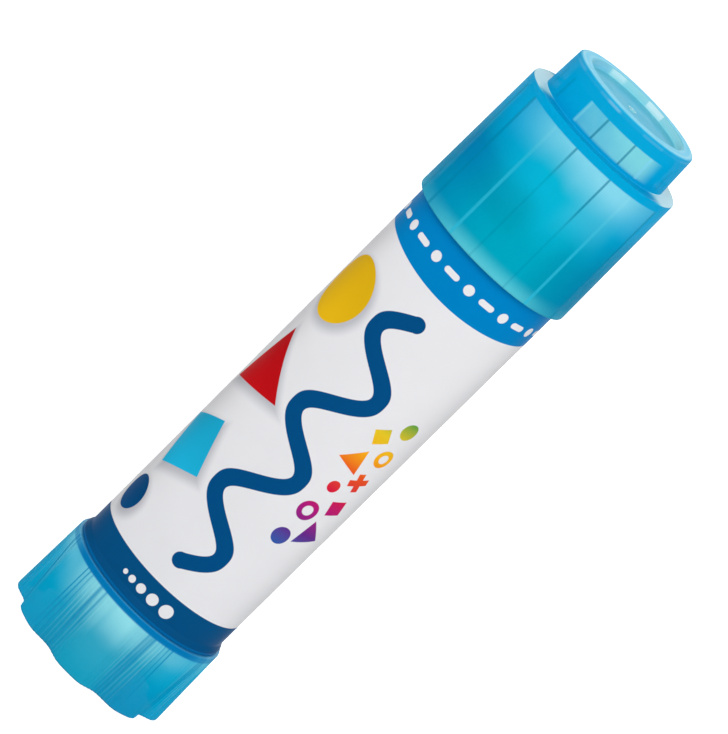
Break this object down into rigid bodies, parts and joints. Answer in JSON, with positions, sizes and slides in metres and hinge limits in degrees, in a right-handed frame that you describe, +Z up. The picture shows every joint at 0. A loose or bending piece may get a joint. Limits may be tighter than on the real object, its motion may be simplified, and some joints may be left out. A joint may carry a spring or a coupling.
{
  "type": "glue stick",
  "caption": "Twist-up glue stick with a stepped see-through cap, a printed tube and a fluted foot knob whose lead screw lifts the glue.",
  "frame": {"origin": "centre of the circle that the foot knob stands on", "axes": "+Z up the stick's axis from the foot knob to the cap; -Y is the front that the picture shows"},
  "size_m": [0.0248, 0.0248, 0.1],
  "materials": {
    "clear_blue_plastic": "see-through blue polypropylene, satin, with fine upright lines",
    "white_plastic": "white polypropylene, satin",
    "printed_film": "white printed film with blue bands and coloured shapes, satin",
    "glue_paste": "off-white solid glue, smooth and slightly waxy"
  },
  "bodies": {
    "barrel": {"barrel": "white_plastic", "label_sleeve": "printed_film"},
    "knob": {"knob": "clear_blue_plastic", "spindle": "white_plastic"},
    "carrier": {"carrier": "white_plastic", "glue": "glue_paste"},
    "cap": {"cap": "clear_blue_plastic"}
  },
  "joints": [
    {"name": "knob_twist", "type": "hinge", "parent": "barrel", "child": "knob", "pos_m": [0, 0, 0], "axis": [0, 0, -1], "range_deg": [0, 3960]},
    {"name": "carrier_rise", "type": "slide", "parent": "barrel", "child": "carrier", "axis": [0, 0, 1], "range_m": [0, 0.066]},
    {"name": "cap_pull", "type": "slide", "parent": "carrier", "child": "cap", "axis": [0, 0, 1], "range_m": [0, 0.03]}
  ],
  "couplings": [
    {"joint": "carrier_rise", "follows": "knob_twist", "m_per_rad": 0.00095493}
  ]
}
